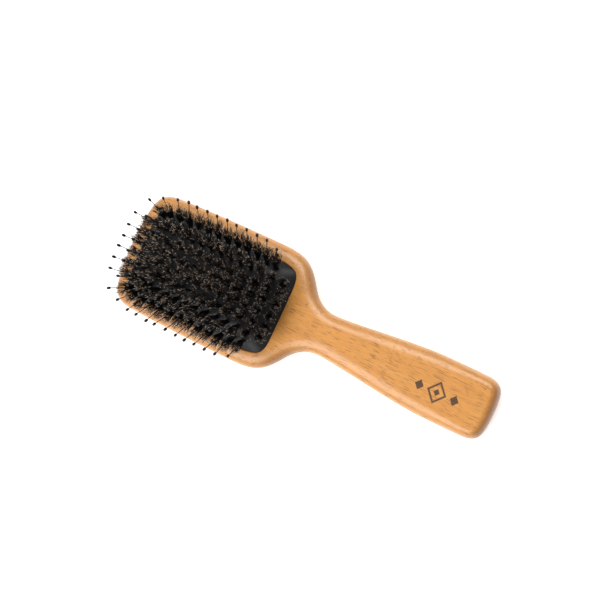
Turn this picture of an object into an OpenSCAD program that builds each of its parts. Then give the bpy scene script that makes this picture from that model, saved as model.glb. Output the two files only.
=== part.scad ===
// Paddle hairbrush: a one-piece beech board with a handle, an air-filled rubber
// cushion held in a pocket of the board, and a grid of tufts. Each tuft is a
// bundle of bristles round one nylon pin that carries a ball tip, and it is held
// from inside by a plug under the rubber.
// Frame: X runs along the brush towards the end of the handle, Z points out of
// the tufted side, and the flat back lies on Z = 0.

/* [Board] */
// Length of the board over all
board_length = 244; // [238:1:270]
// Width of the paddle at its middle
head_width = 76; // [72:1:84]
// Width of the neck at its narrowest
neck_width = 25; // [20:0.5:30]
// Width of the handle near its end
handle_width = 36.5; // [30:0.5:42]
// Thickness of the board
board_thickness = 13; // [12.5:0.5:16]
// Radius of the rounded edges
edge_radius = 6; // [3:0.25:6]

/* [Cushion] */
// Length of the opening that the cushion fills
pad_length = 100; // [98:1:104]
// Width of the opening that the cushion fills
pad_width = 57; // [56:1:59]
// Squareness of the opening's outline, 2 is an ellipse
pad_squareness = 8; // [6:0.5:10]
// Height of the cushion's crown above the board
crown_height = 9.5; // [6:0.5:10]
// Thickness of the rubber
rubber_thickness = 1.5; // [1.2:0.1:1.8]

/* [Tufts] */
// Distance between rows of tufts, along the brush
row_pitch = 6.9; // [6.5:0.1:7]
// Distance between columns of tufts, across the brush
column_pitch = 6.9; // [6.5:0.1:7]
// Length of a bristle bundle above the rubber
bristle_length = 13.5; // [11:0.5:15]
// Radius of a bristle bundle at its tip
bundle_tip_radius = 2.7; // [1.8:0.1:2.9]
// Length of a pin above the rubber, to the middle of its dipped tip
pin_length = 20.5; // [18:0.5:22]
// Radius of a pin
pin_radius = 0.25; // [0.2:0.05:0.3]
// Radius of a dipped tip
tip_radius = 0.8; // [0.7:0.05:1]
// Length of a dipped tip along its pin
tip_length = 2.7; // [2.2:0.1:3.2]

/* [Hidden] */
$fn = 32;

columns = 8;
rows = 14;
half_length = board_length / 2;
half_head = head_width / 2;
half_neck = neck_width / 2;
half_handle = handle_width / 2;

// Places along the board, measured from its middle
head_middle = -half_length + 60.5;
shoulder_start = -half_length + 96;
shoulder_middle = -half_length + 120;
neck_middle = -half_length + 139.5;
handle_wide_start = -half_length + 208;
handle_corner_start = half_length - 12;

// Depth and grip of the pocket
pocket_floor = 5;
lip_top = board_thickness - 3.6;
lip_height = 1.8;
lip_reach = 2.2;
fit_gap = 0.15;
crown_power = 3;
vent_radius = 0.8;

// How a tuft is held in the rubber
hole_radius = 1.2;
// Turns each hole, so that its seam lies along no edge of the rubber's facets
hole_turn = 17;
neck_radius = 1.08;
bundle_inset = 0.3;
plug_radius = 1.6;
plug_height = 1;
plug_gap = 0.45;
pin_clearance = 0.05;

// ---- Curves ----

function bezier(p, t) =
    pow(1 - t, 3) * p[0] + 3 * t * pow(1 - t, 2) * p[1]
    + 3 * t * t * (1 - t) * p[2] + pow(t, 3) * p[3];

function bezier_slope(p, t) =
    3 * pow(1 - t, 2) * (p[1] - p[0]) + 6 * t * (1 - t) * (p[2] - p[1])
    + 3 * t * t * (p[3] - p[2]);

function unit(v) = v / norm(v);
function power(v, e) = pow(abs(v), e);

// Half of the board's outline, from the far end to the end of the handle:
// each stretch is one curve and the number of steps along it
corner_y = 25;
corner_x = -half_length + 15.5;
shoulder_middle_y = half_head - 0.53 * (half_head - half_neck);
shoulder_tangent = [0.592, -0.806];
shoulder_point = [shoulder_middle, shoulder_middle_y];
handle_end_y = 10.5;
half_outline = [
    // Far end, nearly straight
    [[[-half_length, 0], [-half_length, 9],
      [-half_length + 0.7, 18], [-half_length + 2.2, corner_y]], 4],
    // Far corner
    [[[-half_length + 2.2, corner_y], [-half_length + 3.8, corner_y + 7.5],
      [corner_x - 8, half_head - 1.7], [corner_x, half_head - 1.15]], 8],
    // Side of the head
    [[[corner_x, half_head - 1.15], [corner_x + 13, half_head - 0.25],
      [head_middle + 14, half_head + 0.1], [shoulder_start, half_head - 0.4]], 8],
    // Shoulder, rounded outwards
    [[[shoulder_start, half_head - 0.4], [shoulder_start + 11.4, half_head - 1.1],
      shoulder_point - 12.6 * shoulder_tangent, shoulder_point], 9],
    // Shoulder to neck, rounded inwards
    [[shoulder_point, shoulder_point + 4.2 * shoulder_tangent,
      [neck_middle - 11.7, half_neck], [neck_middle, half_neck]], 9],
    // Flare of the handle
    [[[neck_middle, half_neck], [neck_middle + 11.6, half_neck],
      [handle_wide_start - 19, half_handle],
      [handle_wide_start, half_handle]], 9],
    // Grip, with parallel sides
    [[[handle_wide_start, half_handle], [handle_wide_start + 8, half_handle],
      [handle_corner_start - 8, half_handle],
      [handle_corner_start, half_handle - 0.15]], 3],
    // Corner of the grip
    [[[handle_corner_start, half_handle - 0.15],
      [handle_corner_start + 8, half_handle - 0.35],
      [half_length - 1.6, handle_end_y + 4.6],
      [half_length - 0.75, handle_end_y]], 8],
    // End of the grip, nearly straight
    [[[half_length - 0.75, handle_end_y], [half_length - 0.2, handle_end_y - 2.5],
      [half_length, 3], [half_length, 0]], 3]
];

// Points of the half outline, each with its outward normal
half_points = [
    for (stretch = half_outline)
        for (i = [0 : stretch[1] - 1])
            let (t = i / stretch[1], s = unit(bezier_slope(stretch[0], t)))
                [bezier(stretch[0], t), [-s[1], s[0]]]
];
outline_points = concat(
    half_points,
    [[[half_length, 0], [1, 0]]],
    [for (i = [len(half_points) - 1 : -1 : 1])
        [[half_points[i][0][0], -half_points[i][0][1]],
         [half_points[i][1][0], -half_points[i][1][1]]]]
);

// Outline of the cushion, moved out by grow: a squared ellipse
pad_steps = 64;
function pad_point(t, grow) =
    let (
        c = cos(t),
        s = sin(t),
        g = pow(power(c, pad_squareness) + power(s, pad_squareness), -1 / pad_squareness),
        p = [g * c * pad_length / 2, g * s * pad_width / 2],
        n = unit([
            sign(c) * power(g * c, pad_squareness - 1) / pad_length,
            sign(s) * power(g * s, pad_squareness - 1) / pad_width
        ])
    )
        p + grow * n;
function pad_outline(grow) =
    [for (i = [0 : pad_steps - 1]) pad_point(360 * i / pad_steps, grow)];

// How far out a point lies on the cushion: 0 at its middle, 1 at its rim
function pad_reach(x, y) =
    pow(
        power(2 * x / pad_length, pad_squareness) + power(2 * y / pad_width, pad_squareness),
        1 / pad_squareness
    );
function crown(x, y) = crown_height * (1 - pow(pad_reach(x, y), crown_power));
// How steeply the crown falls away from the middle, along X and along Y
function fall(x, y) =
    let (
        m = pad_squareness,
        k = crown_height * crown_power * pow(pad_reach(x, y), crown_power - m)
    )
        [
            k * sign(x) * power(2 * x / pad_length, m - 1) * 2 / pad_length,
            k * sign(y) * power(2 * y / pad_width, m - 1) * 2 / pad_width
        ];

// ---- Tuft places ----

function column_y(c) = (c - (columns + 1) / 2) * column_pitch;
function row_x(r) = (r - (rows + 1) / 2) * row_pitch;
// Tufts near a corner stand a little closer in
corner_pull = 0.2;
function pull(x, y) =
    1 - corner_pull * power(2 * x / pad_length, 4) * power(2 * y / pad_width, 4);
// Where a tuft stands on the cushion, measured from the cushion's middle
function tuft_spot(c, r) = [row_x(r), column_y(c)] * pull(row_x(r), column_y(c));
// The two corners beside the handle have no tuft
function has_tuft(c, r) = !(r == rows && (c == 1 || c == columns));

// Puts its children on the rubber at one tuft, with Z square to the rubber
module at_tuft(c, r) {
    spot = tuft_spot(c, r);
    tilt = fall(spot[0], spot[1]);
    translate([head_middle + spot[0], spot[1], board_thickness + crown(spot[0], spot[1])])
        rotate([0, 0, atan2(tilt[1], tilt[0])])
            rotate([0, atan(norm(tilt)), 0])
                children();
}

module along_column(c) {
    for (r = [1 : rows])
        if (has_tuft(c, r))
            at_tuft(c, r)
                children();
}

// ---- Board ----

// Rings of the rounded edge: how far in from the outline, and how high. The
// first and last stand past the faces, which are then cut flat
edge_steps = 6;
trim = 1;
edge_rings = concat(
    [[edge_radius, -trim]],
    [for (i = [0 : edge_steps])
        let (a = 90 - 90 * i / edge_steps)
            [edge_radius * (1 - cos(a)), edge_radius * (1 - sin(a))]],
    [for (i = [0 : edge_steps])
        let (a = 90 * i / edge_steps)
            [edge_radius * (1 - cos(a)), board_thickness - edge_radius * (1 - sin(a))]],
    [[edge_radius, board_thickness + trim]]
);

module rounded_board() {
    n = len(outline_points);
    k = len(edge_rings);
    points = [
        for (ring = edge_rings)
            for (p = outline_points)
                let (q = p[0] - ring[0] * p[1])
                    [q[0], q[1], ring[1]]
    ];
    walls = [
        for (j = [0 : k - 2])
            for (i = [0 : n - 1])
                let (m = (i + 1) % n)
                    [j * n + i, j * n + m, (j + 1) * n + m, (j + 1) * n + i]
    ];
    base = [for (i = [n - 1 : -1 : 0]) i];
    top = [for (i = [0 : n - 1]) (k - 1) * n + i];
    polyhedron(points = points, faces = concat(walls, [base], [top]), convexity = 6);
}

module wooden_paddle() {
    color("burlywood")
        difference() {
            intersection() {
                rounded_board();
                translate([-board_length, -head_width, 0])
                    cube([2 * board_length, 2 * head_width, board_thickness]);
            }
            // Pocket under the cushion
            translate([head_middle, 0, pocket_floor])
                linear_extrude(height = board_thickness)
                    polygon(pad_outline(fit_gap));
            // Groove that grips the cushion's lip
            translate([head_middle, 0, lip_top - lip_height - fit_gap])
                linear_extrude(height = lip_height + 2 * fit_gap)
                    polygon(pad_outline(lip_reach + fit_gap));
        }
}

// ---- Cushion ----

// Rings of the domed skin, from share of the rim and height
dome_steps = 10;
// The underside meets the rim a little lower, and the rim is a little thinner
inner_drop = 0.6;
rim_thinning = 0.1;
function dome_ring(grow, base_z, height, share) =
    [for (p = pad_outline(grow))
        [p[0] * share, p[1] * share, base_z + height * (1 - pow(share, crown_power))]];
function flat_ring(grow, z) = [for (p = pad_outline(grow)) [p[0], p[1], z]];

module cushion_skin() {
    top_z = board_thickness;
    under_z = top_z - inner_drop;
    under_height = crown_height + inner_drop - rubber_thickness;
    wall = rubber_thickness - rim_thinning;
    rings = concat(
        [for (i = [1 : dome_steps]) dome_ring(0, top_z, crown_height, i / dome_steps)],
        [flat_ring(0, lip_top), flat_ring(lip_reach, lip_top)],
        [flat_ring(lip_reach, lip_top - lip_height), flat_ring(-wall, lip_top - lip_height)],
        [for (i = [dome_steps : -1 : 1])
            dome_ring(-wall, under_z, under_height, i / dome_steps)]
    );
    n = pad_steps;
    k = len(rings);
    points = concat(
        [[0, 0, top_z + crown_height]],
        [for (ring = rings) each ring],
        [[0, 0, under_z + under_height]]
    );
    last = len(points) - 1;
    crown_fan = [for (i = [0 : n - 1]) [0, 1 + (i + 1) % n, 1 + i]];
    under_fan = [for (i = [0 : n - 1]) [last, 1 + (k - 1) * n + i, 1 + (k - 1) * n + (i + 1) % n]];
    walls = [
        for (j = [0 : k - 2])
            for (i = [0 : n - 1])
                let (m = (i + 1) % n, a = 1 + j * n, b = a + n)
                    [a + i, a + m, b + m, b + i]
    ];
    polyhedron(points = points, faces = concat(crown_fan, walls, under_fan), convexity = 6);
}

module rubber_cushion() {
    color([0.12, 0.12, 0.12])
        difference() {
            translate([head_middle, 0, 0])
                cushion_skin();
            for (c = [1 : columns])
                along_column(c)
                    translate([0, 0, -2 * rubber_thickness])
                        rotate([0, 0, hole_turn])
                            cylinder(r = hole_radius, h = 3 * rubber_thickness);
            // Vent in the middle of the cushion, between four tufts
            translate([head_middle, 0, board_thickness])
                cylinder(r = vent_radius, h = 2 * crown_height);
        }
}

// ---- Tufts ----

pin_foot = rubber_thickness;
bundle_foot = rubber_thickness - bundle_inset;
plug_top = rubber_thickness + plug_gap;

// Plugs that hold the tufts from inside
module tuft_plugs(c) {
    color([0.2, 0.2, 0.22])
        along_column(c)
            translate([0, 0, -plug_top - plug_height])
                cylinder(r = plug_radius, h = plug_height);
}

// Bundles of bristles, each hollow where its pin stands
module bristles(c) {
    bore = pin_radius + pin_clearance;
    color([0.16, 0.1, 0.07])
        along_column(c)
            rotate_extrude()
                polygon([
                    [bore, -bundle_foot], [neck_radius, -bundle_foot], [neck_radius, 0],
                    [bundle_tip_radius, bristle_length], [bore, bristle_length]
                ]);
}

module nylon_pins(c) {
    color([0.35, 0.33, 0.32])
        along_column(c)
            translate([0, 0, -pin_foot])
                cylinder(r = pin_radius, h = pin_length + pin_foot, $fn = 16);
}

// Dipped tips: a rounded drop, longer than wide, with a blind hole for its pin
tip_steps = 5;
tip_bore = pin_radius + pin_clearance / 2;
module ball_tips(c) {
    middle = (tip_length - 2 * tip_radius) / 2;
    foot_angle = acos(tip_bore / tip_radius);
    lower = [for (i = [0 : tip_steps - 1])
        let (a = foot_angle * (i / tip_steps - 1))
            [tip_radius * cos(a), tip_radius * sin(a) - middle]];
    upper = [for (i = [0 : tip_steps])
        let (a = 90 * i / tip_steps)
            [i == tip_steps ? 0 : tip_radius * cos(a), tip_radius * sin(a) + middle]];
    color([0.05, 0.05, 0.05])
        along_column(c)
            translate([0, 0, pin_length])
                rotate_extrude($fn = 20)
                    polygon(concat([[0, 0], [tip_bore, 0]], lower, [[tip_radius, -middle]], upper));
}

wooden_paddle();
rubber_cushion();
tuft_plugs(1);  // tuft_plugs_1
bristles(1);  // bristles_1
nylon_pins(1);  // nylon_pins_1
ball_tips(1);  // ball_tips_1
tuft_plugs(2);  // tuft_plugs_2
bristles(2);  // bristles_2
nylon_pins(2);  // nylon_pins_2
ball_tips(2);  // ball_tips_2
tuft_plugs(3);  // tuft_plugs_3
bristles(3);  // bristles_3
nylon_pins(3);  // nylon_pins_3
ball_tips(3);  // ball_tips_3
tuft_plugs(4);  // tuft_plugs_4
bristles(4);  // bristles_4
nylon_pins(4);  // nylon_pins_4
ball_tips(4);  // ball_tips_4
tuft_plugs(5);  // tuft_plugs_5
bristles(5);  // bristles_5
nylon_pins(5);  // nylon_pins_5
ball_tips(5);  // ball_tips_5
tuft_plugs(6);  // tuft_plugs_6
bristles(6);  // bristles_6
nylon_pins(6);  // nylon_pins_6
ball_tips(6);  // ball_tips_6
tuft_plugs(7);  // tuft_plugs_7
bristles(7);  // bristles_7
nylon_pins(7);  // nylon_pins_7
ball_tips(7);  // ball_tips_7
tuft_plugs(8);  // tuft_plugs_8
bristles(8);  // bristles_8
nylon_pins(8);  // nylon_pins_8
ball_tips(8);  // ball_tips_8
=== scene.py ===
# Looks of the paddle hairbrush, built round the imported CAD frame.
# Shapes are written in millimetres, as in the part's source, and turned into
# metres when a mesh is made. The lights and the camera are placed in metres.
import math

import bpy
import bmesh
import numpy as np
from mathutils import Matrix, Vector


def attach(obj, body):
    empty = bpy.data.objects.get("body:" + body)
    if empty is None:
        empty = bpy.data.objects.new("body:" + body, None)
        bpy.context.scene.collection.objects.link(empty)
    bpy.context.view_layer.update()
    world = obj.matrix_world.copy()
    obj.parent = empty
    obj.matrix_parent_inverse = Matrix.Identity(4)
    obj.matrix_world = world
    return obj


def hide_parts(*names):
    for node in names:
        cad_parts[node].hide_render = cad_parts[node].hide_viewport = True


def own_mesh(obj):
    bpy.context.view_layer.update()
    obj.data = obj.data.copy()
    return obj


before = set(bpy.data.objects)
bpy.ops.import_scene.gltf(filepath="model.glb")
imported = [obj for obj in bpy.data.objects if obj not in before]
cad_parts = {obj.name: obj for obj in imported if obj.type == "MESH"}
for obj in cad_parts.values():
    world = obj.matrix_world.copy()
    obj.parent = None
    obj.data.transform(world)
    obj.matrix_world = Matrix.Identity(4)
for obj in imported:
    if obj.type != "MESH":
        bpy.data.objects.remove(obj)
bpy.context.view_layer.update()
MM = 0.001

# ---- Sizes, the same as the part's ----
LENGTH, HEAD_W, NECK_W, HANDLE_W = 244.0, 76.0, 25.0, 36.5
THICK = 13.0
PAD_L, PAD_W, SQUARE = 100.0, 57.0, 8.0
CROWN, POWER, RUBBER = 9.5, 3.0, 1.5
ROW, COLUMN, COLUMNS, ROWS, PULL = 6.9, 6.9, 8, 14, 0.2
BRISTLE, PIN, TIP_R, TIP_L, PIN_R = 13.5, 20.5, 0.8, 2.7, 0.25
H = LENGTH / 2
HEAD_X = -H + 60.5
FLOOR_Z, LIP_TOP, LIP_H, LIP_OUT, GAP = 5.0, THICK - 3.6, 1.8, 2.2, 0.15

# ---- Sizes of the looks ----
EDGE = 9.4  # width of the board's soft edge, wider than the part's radius
OUTLINE_STEP = 0.9
HAIRS, HAIR_STEPS, HAIR_SIDES = 120, 6, 3
HAIR_ROOT = 0.5  # depth of the hairs' roots below the rubber
HAIR_FLARE = 2.75
STRAY_SHARE, SHORT_SHARE = 0.09, 0.12
FLOOR_DROP = 0.0004  # metres, so that the floor and the flat back don't share a plane


# ---- Board outline ----
def half_outline():
    hh, hn, hd = HEAD_W / 2, NECK_W / 2, HANDLE_W / 2
    cy, cx, ey = 25.0, -H + 15.5, 10.5
    start, middle, neck = -H + 96, -H + 120, -H + 139.5
    wide, corner = -H + 208, H - 12
    t = np.array([0.592, -0.806])
    s = np.array([middle, hh - 0.53 * (hh - hn)])
    return [
        [(-H, 0), (-H, 9), (-H + 0.7, 18), (-H + 2.2, cy)],
        [(-H + 2.2, cy), (-H + 3.8, cy + 7.5), (cx - 8, hh - 1.7), (cx, hh - 1.15)],
        [(cx, hh - 1.15), (cx + 13, hh - 0.25), (HEAD_X + 14, hh + 0.1), (start, hh - 0.4)],
        [(start, hh - 0.4), (start + 11.4, hh - 1.1), s - 12.6 * t, s],
        [s, s + 4.2 * t, (neck - 11.7, hn), (neck, hn)],
        [(neck, hn), (neck + 11.6, hn), (wide - 19, hd), (wide, hd)],
        [(wide, hd), (wide + 8, hd), (corner - 8, hd), (corner, hd - 0.15)],
        [(corner, hd - 0.15), (corner + 8, hd - 0.35), (H - 1.6, ey + 4.6), (H - 0.75, ey)],
        [(H - 0.75, ey), (H - 0.2, ey - 2.5), (H, 3), (H, 0)],
    ]


def outline(step):
    """Closed outline, evenly spaced, with its outward normals."""
    dense = []
    for stretch in half_outline():
        p = [np.array(q, float) for q in stretch]
        for t in np.linspace(0, 1, 200)[:-1]:
            dense.append((1 - t) ** 3 * p[0] + 3 * t * (1 - t) ** 2 * p[1]
                         + 3 * t * t * (1 - t) * p[2] + t ** 3 * p[3])
    dense.append(np.array([H, 0.0]))
    dense = np.array(dense)
    loop = np.vstack([dense, dense[-2:0:-1] * [1, -1]])
    closed = np.vstack([loop, loop[:1]])
    d = np.concatenate([[0], np.cumsum(np.linalg.norm(np.diff(closed, axis=0), axis=1))])
    n = int(round(d[-1] / step / 2)) * 2
    at = np.linspace(0, d[-1], n, endpoint=False)
    pts = np.stack([np.interp(at, d, closed[:, k]) for k in (0, 1)], 1)
    t = np.roll(pts, -1, 0) - np.roll(pts, 1, 0)
    t = (np.roll(t, 1, 0) + 2 * t + np.roll(t, -1, 0)) / 4
    t /= np.linalg.norm(t, axis=1)[:, None]
    return pts, np.stack([-t[:, 1], t[:, 0]], 1)


# ---- Cushion shape ----
def reach(x, y):
    return (np.abs(2 * x / PAD_L) ** SQUARE + np.abs(2 * y / PAD_W) ** SQUARE) ** (1 / SQUARE)


def crown(x, y):
    return CROWN * (1 - reach(x, y) ** POWER)


def fall(x, y):
    k = CROWN * POWER * np.maximum(reach(x, y), 1e-6) ** (POWER - SQUARE)
    return (k * np.sign(x) * np.abs(2 * x / PAD_L) ** (SQUARE - 1) * 2 / PAD_L,
            k * np.sign(y) * np.abs(2 * y / PAD_W) ** (SQUARE - 1) * 2 / PAD_W)


def pad_loop(n, grow):
    a = np.linspace(0, 2 * math.pi, n, endpoint=False)
    c, s = np.cos(a), np.sin(a)
    g = (np.abs(c) ** SQUARE + np.abs(s) ** SQUARE) ** (-1 / SQUARE)
    p = np.stack([g * c * PAD_L / 2, g * s * PAD_W / 2], 1)
    return p + grow * pad_normal(p)


def pad_normal(p):
    n = np.stack([np.sign(p[:, 0]) * np.abs(2 * p[:, 0] / PAD_L) ** (SQUARE - 1) / PAD_L,
                  np.sign(p[:, 1]) * np.abs(2 * p[:, 1] / PAD_W) ** (SQUARE - 1) / PAD_W], 1)
    return n / np.linalg.norm(n, axis=1)[:, None]


def tuft(c, r):
    """Place on the rubber and the three axes of one tuft; the last points out."""
    x, y = (r - (ROWS + 1) / 2) * ROW, (c - (COLUMNS + 1) / 2) * COLUMN
    k = 1 - PULL * abs(2 * x / PAD_L) ** 4 * abs(2 * y / PAD_W) ** 4
    x, y = x * k, y * k
    fx, fy = fall(x, y)
    out = np.array([fx, fy, 1.0])
    out /= np.linalg.norm(out)
    side = np.cross([0, 1.0, 0], out)
    side /= np.linalg.norm(side)
    return np.array([HEAD_X + x, y, THICK + crown(x, y)]), side, np.cross(out, side), out


def tufts(c):
    """The tufts of one column; the two corners beside the handle have none."""
    return [tuft(c, r) for r in range(1, ROWS + 1)
            if not (r == ROWS and c in (1, COLUMNS))]


# ---- Meshes ----
def make(name, verts, faces, body, material, replaces=(), sharp=40, values=None):
    mesh = bpy.data.meshes.new(name)
    mesh.from_pydata((np.asarray(verts, float) * MM).tolist(), [], [list(f) for f in faces])
    for key, data in (values or {}).items():
        a = mesh.attributes.new(key, "FLOAT", "POINT")
        a.data.foreach_set("value", np.asarray(data, np.float32))
    mesh.materials.append(material)
    mesh.polygons.foreach_set("use_smooth", [True] * len(mesh.polygons))
    if sharp:
        mesh.set_sharp_from_angle(angle=math.radians(sharp))
    mesh.validate()
    mesh.update()
    obj = bpy.data.objects.new(name, mesh)
    bpy.context.scene.collection.objects.link(obj)
    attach(obj, body)
    if replaces:
        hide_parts(*replaces)
    return obj


def bands(first, second):
    """Quads between two loops of the same length, given by their vertex numbers."""
    n = len(first)
    return [(first[i], first[(i + 1) % n], second[(i + 1) % n], second[i]) for i in range(n)]


def board_mesh():
    pts, nrm = outline(OUTLINE_STEP)
    n = len(pts)
    bm = bmesh.new()

    # The curve is tighter beside the cushion and round the small corners of the grip
    share = np.interp(pts[:, 0], [-8, 12, 60, 80, 94, 104, 112],
                      [0.84, 0.95, 1, 0.93, 0.80, 0.68, 0.62])

    def ring(inset, z):
        return [bm.verts.new((p[0] - inset * k * q[0], p[1] - inset * k * q[1], z))
                for p, q, k in zip(pts, nrm, share)]

    # The edge is sanded to one soft curve, flatter towards both faces
    arcs = np.linspace(0, math.pi / 2, 15)
    half = [(EDGE * (1 - math.cos(a) ** 0.97), THICK / 2 * math.sin(a) ** 0.97) for a in arcs]
    profile = [(EDGE + 0.4, 0.0)] + [(i, THICK / 2 - z) for i, z in half[::-1]]
    profile += [(i, THICK / 2 + z) for i, z in half[1:]] + [(EDGE + 0.4, THICK)]
    rings = [ring(*p) for p in profile]
    for a, b in zip(rings, rings[1:]):
        for i in range(n):
            j = (i + 1) % n
            bm.faces.new((a[i], b[i], b[j], a[j]))

    m = 360

    def opening(grow, z):
        return [bm.verts.new((HEAD_X + p[0], p[1], z)) for p in pad_loop(m, grow)]

    soft = 0.55
    down = [opening(GAP + soft * (1 - math.sin(a)), THICK - soft * (1 - math.cos(a)))
            for a in np.linspace(0, math.pi / 2, 5)]
    down += [opening(GAP, LIP_TOP + GAP), opening(LIP_OUT + GAP, LIP_TOP + GAP),
             opening(LIP_OUT + GAP, LIP_TOP - LIP_H - GAP), opening(GAP, LIP_TOP - LIP_H - GAP),
             opening(GAP, FLOOR_Z)]
    for a, b in zip(down, down[1:]):
        for i in range(m):
            j = (i + 1) % m
            bm.faces.new((a[i], b[i], b[j], a[j]))

    def loop_edges(loop):
        return [bm.edges.get((loop[i], loop[(i + 1) % len(loop)])) for i in range(len(loop))]

    bmesh.ops.triangle_fill(bm, use_beauty=True, edges=loop_edges(rings[-1]) + loop_edges(down[0]))
    bmesh.ops.triangle_fill(bm, use_beauty=True, edges=loop_edges(rings[0]))
    bmesh.ops.triangle_fill(bm, use_beauty=True, edges=loop_edges(down[-1]))
    bmesh.ops.recalc_face_normals(bm, faces=bm.faces)
    verts = [v.co[:] for v in bm.verts]
    bm.verts.index_update()
    faces = [[v.index for v in f.verts] for f in bm.faces]
    bm.free()
    return verts, faces


def cushion_mesh():
    """A closed shell: the domed skin, its rim in the groove and its underside."""
    nu, nv = 184, 108
    u, v = np.meshgrid(np.linspace(-1, 1, nu + 1), np.linspace(-1, 1, nv + 1), indexing="ij")
    far = np.maximum(np.abs(u), np.abs(v))
    length = (np.abs(u) ** SQUARE + np.abs(v) ** SQUARE) ** (1 / SQUARE)
    k = np.where(far > 0, far / np.maximum(length, 1e-9), 1)
    x, y = u * k * PAD_L / 2, v * k * PAD_W / 2
    z = THICK + crown(x, y)
    # The plugs draw the rubber in a little at each tuft, and it swells between them
    dent = np.zeros_like(x)
    for c in range(1, COLUMNS + 1):
        for p, _, _, _ in tufts(c):
            d = np.hypot(x + HEAD_X - p[0], y - p[1])
            dent += 0.16 * np.exp(-((d - 2.5) / 0.75) ** 2) - 0.24 * np.exp(-(d / 1.45) ** 2)
    # The vent shows as a small dimple in the middle
    dent -= 1.1 * np.exp(-(np.hypot(x, y) / 0.75) ** 2)
    edge = np.clip((1 - reach(x, y)) / 0.06, 0, 1)
    z = z + dent * edge
    top = np.stack([x + HEAD_X, y, z], -1).reshape(-1, 3)

    def number(i, j):
        return i * (nv + 1) + j

    rim = [number(i, 0) for i in range(nu)] + [number(nu, j) for j in range(nv)]
    rim += [number(i, nv) for i in range(nu, 0, -1)] + [number(0, j) for j in range(nv, 0, -1)]
    p = top[rim][:, :2] - [HEAD_X, 0]
    nrm = pad_normal(p)

    def ring(grow, height):
        q = p + grow * nrm
        return np.column_stack([q[:, 0] + HEAD_X, q[:, 1], np.full(len(q), height)])

    wall = RUBBER - 0.1
    low = THICK - 0.6
    parts = [top, ring(0, LIP_TOP), ring(LIP_OUT, LIP_TOP), ring(LIP_OUT, LIP_TOP - LIP_H),
             ring(-wall, LIP_TOP - LIP_H)]
    shrink = np.array([1 - 2 * wall / PAD_L, 1 - 2 * wall / PAD_W])
    ux, uy = x * shrink[0], y * shrink[1]
    uz = low + (CROWN + 0.6 - RUBBER) * (1 - reach(x, y) ** POWER)
    under = np.stack([ux + HEAD_X, uy, uz], -1).reshape(-1, 3)
    starts = np.cumsum([0] + [len(q) for q in parts])
    parts.append(under)
    faces = []
    for i in range(nu):
        for j in range(nv):
            a, b, c, d = number(i, j), number(i + 1, j), number(i + 1, j + 1), number(i, j + 1)
            faces.append((a, b, c, d))
            o = starts[-1]
            faces.append((o + d, o + c, o + b, o + a))
    n = len(rim)
    loops = [rim] + [list(range(s, s + n)) for s in starts[1:5]] + [[starts[-1] + i for i in rim]]
    for a, b in zip(loops, loops[1:]):
        faces += bands(b, a)
    return np.vstack(parts), faces


def tubes(paths, radii, sides, extra=None):
    """Tubes along paths (count, steps, 3) with radii (count, steps); closed at the far end."""
    count, steps, _ = paths.shape
    t = np.gradient(paths, axis=1)
    t /= np.linalg.norm(t, axis=2)[:, :, None]
    ref = np.zeros((count, 1, 3))
    ref[:, 0, 0] = 1
    a = np.cross(t, np.cross(ref, t))
    a /= np.linalg.norm(a, axis=2)[:, :, None]
    b = np.cross(t, a)
    angle = np.linspace(0, 2 * math.pi, sides, endpoint=False)
    ring = (np.cos(angle)[None, None, :, None] * a[:, :, None, :]
            + np.sin(angle)[None, None, :, None] * b[:, :, None, :])
    v = paths[:, :, None, :] + ring * radii[:, :, None, None]
    v = v.reshape(-1, 3)
    base = (np.arange(count) * steps * sides)[:, None, None]
    i = (np.arange(steps - 1) * sides)[None, :, None]
    k = np.arange(sides)[None, None, :]
    nxt = (k + 1) % sides
    quads = np.stack([base + i + k, base + i + nxt, base + i + sides + nxt,
                      base + i + sides + k], -1).reshape(-1, 4).tolist()
    last = np.arange(count) * steps * sides + (steps - 1) * sides
    caps = [[s + q for q in range(sides)] for s in last.tolist()]
    first = np.arange(count) * steps * sides
    caps += [[s + q for q in range(sides - 1, -1, -1)] for s in first.tolist()]
    return v, quads + caps


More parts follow.
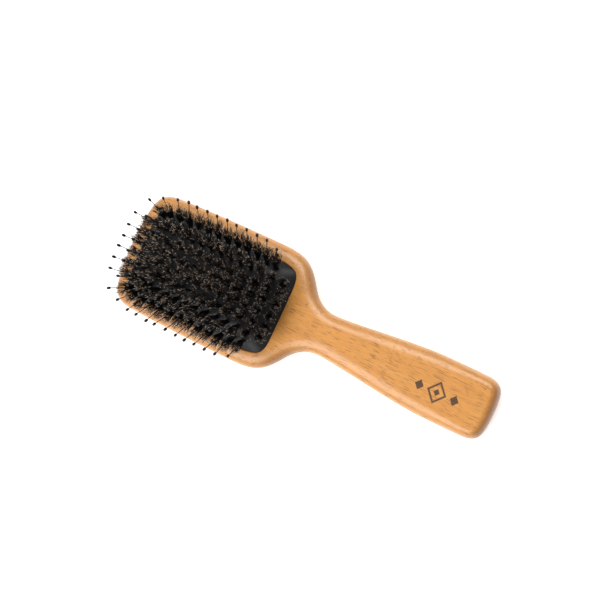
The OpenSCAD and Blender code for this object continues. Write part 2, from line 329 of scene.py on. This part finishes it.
def bristle_column(c):
    """Every hair of one column: crowded at the rubber, flaring to ragged tips."""
    rng = np.random.default_rng(100 + c)
    hairs, steps = HAIRS, HAIR_STEPS
    paths, radii, along, shade = [], [], [], []
    for p, sx, sy, out in tufts(c):
        lean = rng.normal(0, 0.035, 2)
        wide = rng.uniform(0.86, 1.16)
        tall = BRISTLE * rng.uniform(0.95, 1.03)
        q = np.sqrt(rng.uniform(0, 1, hairs))
        a = rng.uniform(0, 2 * math.pi, hairs)
        q = 0.34 + 0.66 * q  # the pin stands in the middle
        root = np.stack([np.cos(a), np.sin(a)], 1) * (q * 1.02)[:, None]
        spread = q * HAIR_FLARE * wide + rng.normal(0, 0.42, hairs)
        stray = rng.uniform(0, 1, hairs) < STRAY_SHARE
        spread = np.where(stray, spread + rng.uniform(0.6, 1.9, hairs), spread)
        turn = a + rng.normal(0, 0.35, hairs)
        tip = root + np.stack([np.cos(turn), np.sin(turn)], 1) * spread[:, None]
        tip += rng.normal(0, 0.28, (hairs, 2)) + lean * tall
        high = tall * (1.0 - 0.05 * q ** 2) * rng.uniform(0.86, 1.04, hairs)
        short = rng.uniform(0, 1, hairs) < SHORT_SHARE
        high = np.where(short, high * rng.uniform(0.7, 0.9, hairs), high)
        s = np.linspace(0, 1, steps)
        bend = (s ** 1.45)[None, :, None]
        wave = rng.normal(0, 0.14, (hairs, 2))[:, None, :] * np.sin(s * math.pi)[None, :, None]
        flat = root[:, None, :] + (tip - root)[:, None, :] * bend + wave * (s > 0.1)[None, :, None]
        up = -HAIR_ROOT + (high[:, None] + HAIR_ROOT) * s[None, :]
        path = (p[None, None, :] + flat[..., 0:1] * sx + flat[..., 1:2] * sy
                + up[..., None] * out)
        thick = rng.uniform(0.085, 0.13, hairs)
        paths.append(path)
        taper = np.interp(s, [0, 0.6, 0.9, 1], [1, 0.97, 0.85, 0.74])
        radii.append(thick[:, None] * taper[None, :])
        along.append(np.broadcast_to(s[None, :], (hairs, steps)))
        shade.append(np.broadcast_to(rng.uniform(0, 1, hairs)[:, None], (hairs, steps)))
    sides = HAIR_SIDES
    v, f = tubes(np.concatenate(paths), np.concatenate(radii), sides)
    values = {"along": np.repeat(np.concatenate(along).ravel(), sides),
              "shade": np.repeat(np.concatenate(shade).ravel(), sides)}
    return v, f, values


def pin_column(c):
    """Pins with a slight bend, and the frames of their dipped tips."""
    rng = np.random.default_rng(500 + c)
    paths, radii, ends = [], [], []
    s = np.linspace(0, 1, 9)
    for p, sx, sy, out in tufts(c):
        drift = rng.normal(0, 0.30, 2)
        bow = rng.normal(0, 0.10, 2)
        up = -RUBBER + (PIN + RUBBER) * s
        flat = drift[None, :] * (s ** 1.5)[:, None] + bow[None, :] * np.sin(s * math.pi)[:, None]
        path = p + flat[:, :1] * sx + flat[:, 1:] * sy + up[:, None] * out
        paths.append(path)
        radii.append(np.interp(s, [0, 0.5, 1], [PIN_R * 1.1, PIN_R, PIN_R * 0.82]))
        d = path[-1] - path[-2]
        ends.append((path[-1], d / np.linalg.norm(d), rng.uniform(0.92, 1.05)))
    v, f = tubes(np.array(paths), np.array(radii), 10)
    return v, f, ends


def tip_mesh(ends):
    """Dipped resin drops: a capsule, a little fuller towards its free end."""
    sides, steps = 16, 13
    verts, faces = [], []
    for at, axis, size in ends:
        side = np.cross(axis, [1.0, 0, 0])
        side /= np.linalg.norm(side)
        other = np.cross(axis, side)
        start = len(verts)
        for i in range(steps):
            a = math.pi * (i / (steps - 1) - 0.5)
            z = TIP_L / 2 * np.sign(math.sin(a)) * abs(math.sin(a)) ** 0.92
            r = 1.08 * TIP_R * abs(math.cos(a)) ** 0.72 * (1 + 0.04 * math.sin(a))
            r = max(r, 0.2 if i == 0 else 0.06)
            for k in range(sides):
                b = 2 * math.pi * k / sides
                verts.append(at + axis * z * size
                             + (side * math.cos(b) + other * math.sin(b)) * r * size)
        for i in range(steps - 1):
            lo, hi = start + i * sides, start + (i + 1) * sides
            faces += bands(list(range(lo, lo + sides)), list(range(hi, hi + sides)))
        faces.append(list(range(start + (steps - 1) * sides, start + steps * sides)))
        faces.append(list(range(start + sides - 1, start - 1, -1)))
    return np.array(verts), faces


# ---- Materials ----
WOOD_DARK = (0.66, 0.275, 0.054)
WOOD_MID = (0.80, 0.350, 0.072)
WOOD_LIGHT = (0.88, 0.415, 0.102)
WOOD_RAY = (0.17, 0.055, 0.012)
MOTIF_AT = (90.0, -2.0)


class Net:
    """A small helper that builds a material's node tree."""

    def __init__(self, name):
        self.material = bpy.data.materials.new(name)
        self.material.use_nodes = True
        self.tree = self.material.node_tree
        self.shader = self.tree.nodes["Principled BSDF"]

    def add(self, kind, **settings):
        node = self.tree.nodes.new(kind)
        for key, value in settings.items():
            setattr(node, key, value)
        return node

    def link(self, a, b):
        self.tree.links.new(a, b)

    def put(self, socket, value):
        if isinstance(value, bpy.types.NodeSocket):
            self.link(value, socket)
        else:
            socket.default_value = value

    def math(self, op, a, b=0.0, clamp=False):
        node = self.add("ShaderNodeMath", operation=op, use_clamp=clamp)
        self.put(node.inputs[0], a)
        self.put(node.inputs[1], b)
        return node.outputs[0]

    def stretch(self, vector, x, y, z):
        node = self.add("ShaderNodeVectorMath", operation="MULTIPLY")
        self.put(node.inputs[0], vector)
        node.inputs[1].default_value = (x, y, z)
        return node.outputs[0]

    def noise(self, vector, scale=1.0, detail=4.0, rough=0.5):
        node = self.add("ShaderNodeTexNoise")
        self.put(node.inputs["Vector"], vector)
        node.inputs["Scale"].default_value = scale
        node.inputs["Detail"].default_value = detail
        node.inputs["Roughness"].default_value = rough
        return node.outputs[0]

    def ramp(self, value, stops):
        """A colour ramp; a stop holds one grey value or three of a colour."""
        node = self.add("ShaderNodeValToRGB")
        self.put(node.inputs[0], value)
        ramp = node.color_ramp
        while len(ramp.elements) < len(stops):
            ramp.elements.new(0.5)
        for e, (at, colour) in zip(ramp.elements, stops):
            e.position = at
            e.color = (*colour, 1) if len(colour) == 3 else (colour[0],) * 3 + (1,)
        return node.outputs[0]

    def mix(self, share, a, b, blend="MIX"):
        node = self.add("ShaderNodeMix", data_type="RGBA", blend_type=blend)
        self.put(node.inputs[0], share)
        for socket, value in ((node.inputs[6], a), (node.inputs[7], b)):
            self.put(socket, value if isinstance(value, bpy.types.NodeSocket) else (*value, 1))
        return node.outputs[2]

    def bump(self, height, distance, strength=1.0):
        node = self.add("ShaderNodeBump")
        node.inputs["Strength"].default_value = strength
        node.inputs["Distance"].default_value = distance
        self.put(node.inputs["Height"], height)
        return node.outputs[0]

    def place(self):
        return self.add("ShaderNodeTexCoord").outputs["Object"]

    def finish(self, **sockets):
        for key, value in sockets.items():
            self.put(self.shader.inputs[key.replace("_", " ")], value)
        return self.material


def motif(n, place):
    """A plain burned pattern for the handle: a lozenge with a smaller one each side."""
    split = n.add("ShaderNodeSeparateXYZ")
    n.link(place, split.inputs[0])
    u = n.math("MULTIPLY", n.math("SUBTRACT", split.outputs[0], MOTIF_AT[0] * MM), 1000.0)
    v = n.math("MULTIPLY", n.math("SUBTRACT", split.outputs[1], MOTIF_AT[1] * MM), 1000.0)
    au, av = n.math("ABSOLUTE", u), n.math("ABSOLUTE", v)

    def lozenge(x, a, b):
        return n.math("ADD", n.math("DIVIDE", x, a), n.math("DIVIDE", av, b))

    def inside(d, edge):
        return n.math("MULTIPLY", n.math("SUBTRACT", edge, d), 9.0, clamp=True)

    big = lozenge(au, 6.2, 7.0)
    ring = n.math("MULTIPLY", inside(big, 1.0), n.math("SUBTRACT", 1.0, inside(big, 0.76)))
    core = inside(big, 0.36)
    small = lozenge(n.math("ABSOLUTE", n.math("SUBTRACT", au, 10.6)), 2.8, 3.2)
    dots = inside(small, 1.0)
    marks = n.math("MAXIMUM", n.math("MAXIMUM", ring, core), dots)
    above = n.math("GREATER_THAN", split.outputs[2], (THICK - 1.0) * MM)
    return n.math("MULTIPLY", marks, above)


def beech():
    n = Net("beech")
    place = n.place()
    mm = n.stretch(place, 1000.0, 1000.0, 1000.0)
    # The grain wanders slowly from side to side along the board
    sway = n.math("SUBTRACT", n.noise(n.stretch(mm, 0.014, 0.03, 0.03), 1.0, 2.0), 0.5)
    shift = n.add("ShaderNodeCombineXYZ")
    n.put(shift.inputs[1], n.math("MULTIPLY", sway, 9.0))
    n.put(shift.inputs[2], n.math("MULTIPLY", sway, 5.0))
    flow = n.add("ShaderNodeVectorMath", operation="ADD")
    n.link(mm, flow.inputs[0])
    n.link(shift.outputs[0], flow.inputs[1])
    flow = flow.outputs[0]

    broad = n.noise(n.stretch(flow, 0.006, 0.055, 0.055), 1.0, 3.0, 0.55)
    streak = n.noise(n.stretch(flow, 0.012, 0.42, 0.42), 1.0, 5.0, 0.6)
    fine = n.noise(n.stretch(flow, 0.11, 3.2, 3.2), 1.0, 3.0, 0.6)
    tone = n.ramp(broad, [(0.30, WOOD_DARK), (0.50, WOOD_MID), (0.70, WOOD_LIGHT)])
    stripes = n.ramp(streak, [(0.30, WOOD_DARK), (0.52, WOOD_MID), (0.74, WOOD_LIGHT)])
    tone = n.mix(0.55, tone, stripes)
    grain = n.ramp(fine, [(0.32, (0.81,)), (0.55, (0.98,)), (0.8, (1.05,))])
    tone = n.mix(1.0, tone, grain, "MULTIPLY")

    # Short dark rays, each a thin dash along the grain
    def rays(x, y, reach_out, seed):
        moved = n.add("ShaderNodeVectorMath", operation="ADD")
        n.link(n.stretch(flow, 1 / x, 1 / y, 1 / y), moved.inputs[0])
        moved.inputs[1].default_value = (seed, seed * 1.7, seed * 0.6)
        cells = n.add("ShaderNodeTexVoronoi", feature="F1", voronoi_dimensions="3D")
        n.link(moved.outputs[0], cells.inputs["Vector"])
        cells.inputs["Scale"].default_value = 1.0
        pick = n.add("ShaderNodeSeparateColor")
        n.link(cells.outputs["Color"], pick.inputs[0])
        size = n.math("MULTIPLY", pick.outputs[0], reach_out)
        near = n.math("SUBTRACT", size, cells.outputs["Distance"])
        return n.math("MULTIPLY", near, 16.0, clamp=True)

    dash = n.math("MAXIMUM", rays(13.0, 0.36, 0.37, 3.1), rays(8.0, 0.31, 0.33, 17.7))
    tone = n.mix(n.math("MULTIPLY", dash, 0.84), tone, WOOD_RAY)
    # The faces turned to the board's ends are darkened, partly as end grain that soaks up more
    # lacquer and partly as painted shade on the ends
    facing = n.add("ShaderNodeSeparateXYZ")
    n.link(n.add("ShaderNodeTexCoord").outputs["Normal"], facing.inputs[0])
    end_grain_and_shade = n.math("SUBTRACT", n.math("ABSOLUTE", facing.outputs[0]), 0.16)
    end_grain_and_shade = n.math("MULTIPLY", end_grain_and_shade, 1.5, clamp=True)
    uneven = n.math("ADD", n.math("MULTIPLY", fine, 0.5), 0.68)
    end_grain_and_shade = n.math("MULTIPLY", end_grain_and_shade, uneven, clamp=True)
    tone = n.mix(end_grain_and_shade, tone, (0.46, 0.40, 0.42), "MULTIPLY")
    mark = motif(n, place)
    char = n.noise(n.stretch(mm, 2.2, 5.0, 5.0), 1.0, 3.0)
    burned = n.mix(char, (0.028, 0.009, 0.003), (0.075, 0.026, 0.009))
    tone = n.mix(n.math("MULTIPLY", mark, 0.92), tone, burned)
    gloss = n.math("ADD", n.math("MULTIPLY", streak, 0.14), 0.36)
    gloss = n.math("ADD", gloss, n.math("MULTIPLY", dash, 0.10))
    gloss = n.math("ADD", gloss, n.math("MULTIPLY", mark, 0.25))
    height = n.math("ADD", n.math("MULTIPLY", fine, 0.25), n.math("MULTIPLY", streak, 0.5))
    height = n.math("SUBTRACT", height, n.math("MULTIPLY", dash, 0.35))
    height = n.math("SUBTRACT", height, n.math("MULTIPLY", mark, 1.6))
    return n.finish(Base_Color=tone, Roughness=gloss, Normal=n.bump(height, 0.00006),
                    Specular_IOR_Level=0.5, Coat_Weight=1.0, Coat_Roughness=0.29)


def rubber():
    n = Net("cushion_rubber")
    mm = n.stretch(n.place(), 1000.0, 1000.0, 1000.0)
    cloud = n.noise(n.stretch(mm, 0.12, 0.12, 0.12), 1.0, 3.0)
    skin = n.noise(n.stretch(mm, 2.6, 2.6, 2.6), 1.0, 4.0, 0.6)
    tone = n.ramp(cloud, [(0.3, (0.007, 0.007, 0.008)), (0.7, (0.014, 0.014, 0.015))])
    dust = n.noise(n.stretch(mm, 5.5, 5.5, 5.5), 1.0, 2.0)
    speck = n.ramp(dust, [(0.66, (0.0,)), (0.76, (1.0,))])
    tone = n.mix(n.math("MULTIPLY", speck, 0.35), tone, (0.060, 0.057, 0.053))
    gloss = n.math("ADD", n.math("MULTIPLY", cloud, 0.20), 0.26)
    gloss = n.math("ADD", gloss, n.math("MULTIPLY", skin, 0.10))
    return n.finish(Base_Color=tone, Roughness=gloss, Normal=n.bump(skin, 0.00008, 0.5),
                    Specular_IOR_Level=0.36)


def bristle_hair():
    n = Net("boar_bristle")
    along = n.add("ShaderNodeAttribute", attribute_name="along").outputs["Fac"]
    shade = n.add("ShaderNodeAttribute", attribute_name="shade").outputs["Fac"]
    mm = n.stretch(n.place(), 1000.0, 1000.0, 1000.0)
    body = n.ramp(shade, [(0.0, (0.003, 0.0026, 0.0026)), (0.6, (0.006, 0.005, 0.0045)),
                          (0.88, (0.015, 0.009, 0.007)), (1.0, (0.045, 0.023, 0.013))])
    patch = n.noise(n.stretch(mm, 0.8, 0.8, 0.8), 1.0, 2.0)
    body = n.mix(n.math("MULTIPLY", patch, 0.35), body, (0.004, 0.003, 0.003))
    # Split, lighter ends on a quarter of the hairs
    pale = n.math("MULTIPLY", n.math("SUBTRACT", along, 0.89), 12.0, clamp=True)
    some = n.math("MULTIPLY", n.math("SUBTRACT", shade, 0.70), 12.0, clamp=True)
    ends = n.mix(patch, (0.94, 0.64, 0.43), (1.0, 0.88, 0.72))
    tone = n.mix(n.math("MULTIPLY", pale, some), body, ends)
    gloss = n.math("ADD", n.math("MULTIPLY", patch, 0.2), 0.32)
    return n.finish(Base_Color=tone, Roughness=gloss, Specular_IOR_Level=0.5)


def nylon():
    n = Net("pin_nylon")
    mm = n.stretch(n.place(), 1000.0, 1000.0, 1000.0)
    drift = n.noise(n.stretch(mm, 0.5, 0.5, 0.5), 1.0, 3.0)
    tone = n.ramp(drift, [(0.3, (0.010, 0.009, 0.008)), (0.7, (0.030, 0.026, 0.022))])
    gloss = n.math("ADD", n.math("MULTIPLY", drift, 0.18), 0.18)
    return n.finish(Base_Color=tone, Roughness=gloss, IOR=1.53, Specular_IOR_Level=0.4)


def tip_resin():
    n = Net("tip_resin")
    mm = n.stretch(n.place(), 1000.0, 1000.0, 1000.0)
    dip = n.noise(n.stretch(mm, 1.3, 1.3, 1.3), 1.0, 3.0)
    tone = n.ramp(dip, [(0.3, (0.004, 0.004, 0.005)), (0.7, (0.012, 0.011, 0.011))])
    gloss = n.math("ADD", n.math("MULTIPLY", dip, 0.16), 0.24)
    return n.finish(Base_Color=tone, Roughness=gloss, Normal=n.bump(dip, 0.00004, 0.4),
                    Specular_IOR_Level=0.5)


def plug_plastic():
    n = Net("plug_plastic")
    mm = n.stretch(n.place(), 1000.0, 1000.0, 1000.0)
    cloud = n.noise(n.stretch(mm, 1.8, 1.8, 1.8), 1.0, 4.0)
    tone = n.ramp(cloud, [(0.3, (0.035, 0.034, 0.036)), (0.7, (0.065, 0.062, 0.064))])
    gloss = n.math("ADD", n.math("MULTIPLY", cloud, 0.25), 0.42)
    return n.finish(Base_Color=tone, Roughness=gloss, Normal=n.bump(cloud, 0.00005, 0.5))


# ---- Pieces ----
wood, skin, hair, pin_stuff, resin, plugs = (
    beech(), rubber(), bristle_hair(), nylon(), tip_resin(), plug_plastic())

v, f = board_mesh()
make("paddle_board", v, f, "paddle", wood, ["wooden_paddle"], sharp=42)

v, f = cushion_mesh()
cushion = make("air_cushion", v, f, "paddle", skin, ["rubber_cushion"], sharp=50)

for c in range(1, COLUMNS + 1):
    body = f"tufts_column_{c}"
    v, f, values = bristle_column(c)
    make(f"bristle_hairs_{c}", v, f, body, hair, [f"bristles_{c}"], 0, values)
    v, f, ends = pin_column(c)
    make(f"pins_{c}", v, f, body, pin_stuff, [f"nylon_pins_{c}"], 60)
    v, f = tip_mesh(ends)
    make(f"dipped_tips_{c}", v, f, body, resin, [f"ball_tips_{c}"], 0)
    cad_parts[f"tuft_plugs_{c}"].data.materials.clear()
    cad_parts[f"tuft_plugs_{c}"].data.materials.append(plugs)

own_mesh(cushion)

# ---- Floor, light and camera ----
bpy.ops.mesh.primitive_plane_add(size=6, location=(0, 0, -FLOOR_DROP))
floor = bpy.context.object
floor.name = "floor"
n = Net("floor_paper")
paper = n.noise(n.stretch(n.place(), 60.0, 60.0, 60.0), 1.0, 3.0)
floor.data.materials.append(n.finish(
    Base_Color=n.ramp(paper, [(0.3, (0.90, 0.90, 0.90)), (0.7, (0.92, 0.92, 0.92))]),
    Roughness=0.9, Specular_IOR_Level=0.1,
    Emission_Color=(1, 1, 1, 1), Emission_Strength=0.50))


def softbox(name, at, aim, width, height, watts, colour=(1, 1, 1)):
    light = bpy.data.lights.new(name, "AREA")
    light.shape = "RECTANGLE"
    light.size, light.size_y, light.energy, light.color = width, height, watts, colour
    obj = bpy.data.objects.new(name, light)
    obj.location = at
    obj.rotation_mode = "QUATERNION"
    obj.rotation_quaternion = (Vector(aim) - Vector(at)).to_track_quat("-Z", "Y")
    bpy.context.scene.collection.objects.link(obj)


softbox("key", (-0.27, -0.79, 0.84), (-0.02, 0, 0), 1.2, 0.8, 10.9, (1.0, 0.985, 0.975))
softbox("over", (-0.10, 0.80, 1.00), (-0.03, 0, 0), 0.9, 0.6, 8.4, (1.0, 0.955, 0.92))
softbox("far", (-1.05, -0.15, 0.95), (-0.05, 0, 0), 0.8, 0.7, 1.8)

world = bpy.data.worlds.new("studio")
bpy.context.scene.world = world
world.use_nodes = True
world.node_tree.nodes["Background"].inputs[0].default_value = (0.95, 0.97, 1.0, 1)
world.node_tree.nodes["Background"].inputs[1].default_value = 0.27

# The camera stands nearly above the brush, which lies at a slant in its view
tilt, turn, roll = math.radians(19.3), math.radians(3.9), math.radians(25.1)
CAMERA_AWAY, SENSOR, LENS = 0.600, 36.0, 61.62
back = Vector((math.sin(tilt) * math.cos(turn), math.sin(tilt) * math.sin(turn), math.cos(tilt)))
target = Vector((-6.7, 12.0, 6.5)) * MM
right = (Vector((1, 0, 0)) - back.x * back).normalized()
up = back.cross(right)
right, up = (math.cos(roll) * right + math.sin(roll) * up,
             math.cos(roll) * up - math.sin(roll) * right)
camera = bpy.data.objects.new("camera", bpy.data.cameras.new("camera"))
camera.data.sensor_width = SENSOR
camera.data.lens = LENS
camera.data.clip_start, camera.data.clip_end = 0.01, 20
camera.matrix_world = Matrix((
    (right.x, up.x, back.x, 0), (right.y, up.y, back.y, 0), (right.z, up.z, back.z, 0),
    (0, 0, 0, 1)))
camera.location = target + back * CAMERA_AWAY
bpy.context.scene.collection.objects.link(camera)
bpy.context.scene.camera = camera
bpy.context.scene.view_settings.view_transform = "Standard"
